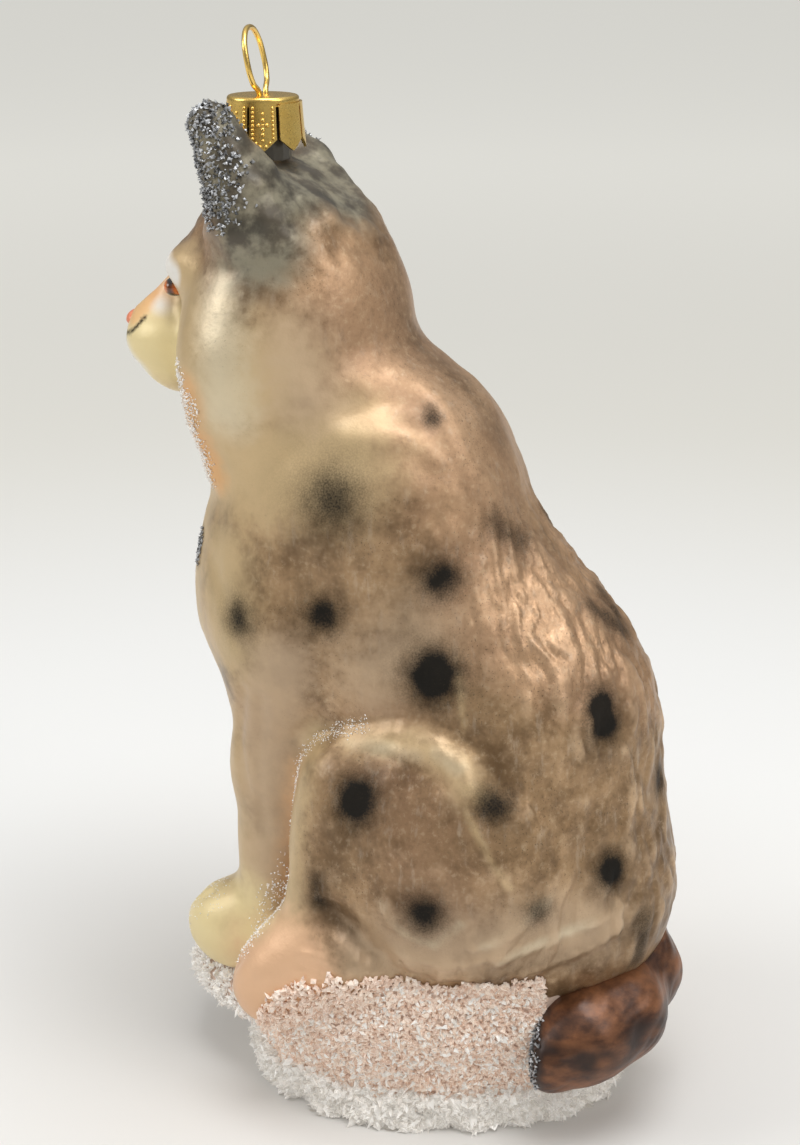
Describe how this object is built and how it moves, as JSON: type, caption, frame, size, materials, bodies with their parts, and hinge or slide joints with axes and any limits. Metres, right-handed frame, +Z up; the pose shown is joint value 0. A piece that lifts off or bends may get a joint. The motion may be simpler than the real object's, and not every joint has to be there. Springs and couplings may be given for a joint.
{
  "type": "lynx glass ornament",
  "caption": "Blown-glass hanging ornament shaped as a lynx sitting on a snowy mound, with a slotted metal cap and a wire loop.",
  "frame": {"origin": "middle of the outline at the bottom of the mound, where the part stands", "axes": "+Z up, the lynx looks along -Y, its left side is +X"},
  "size_m": [0.0458, 0.0686, 0.1246],
  "materials": {
    "lacquered_glass": "silvered inside, airbrushed satin lacquer outside, taupe with soft dark spots",
    "brown_lacquer": "brushed brown lacquer with a dark streak",
    "eye_paint": "orange iris with a black line, hand painted",
    "nose_paint": "pink-orange, hand painted",
    "snow_glitter": "glued clear and white glass grit over a pinkish ground",
    "gold_cap": "stamped thin sheet, gold coloured and bright",
    "gold_wire": "bright spring wire"
  },
  "bodies": {
    "root": {"left_ear": "lacquered_glass", "right_ear": "lacquered_glass", "left_eye": "eye_paint", "right_eye": "eye_paint", "nose": "nose_paint", "glass_neck": "lacquered_glass", "head": "lacquered_glass", "neck": "lacquered_glass", "left_hind_paw": "lacquered_glass", "left_haunch": "lacquered_glass", "right_hind_paw": "lacquered_glass", "right_haunch": "lacquered_glass", "left_foreleg": "lacquered_glass", "left_front_paw": "lacquered_glass", "right_foreleg": "lacquered_glass", "right_front_paw": "lacquered_glass", "trunk": "lacquered_glass", "tail": "brown_lacquer", "snow_mound": "snow_glitter", "cap": "gold_cap", "wire_loop": "gold_wire"}
  },
  "joints": []
}
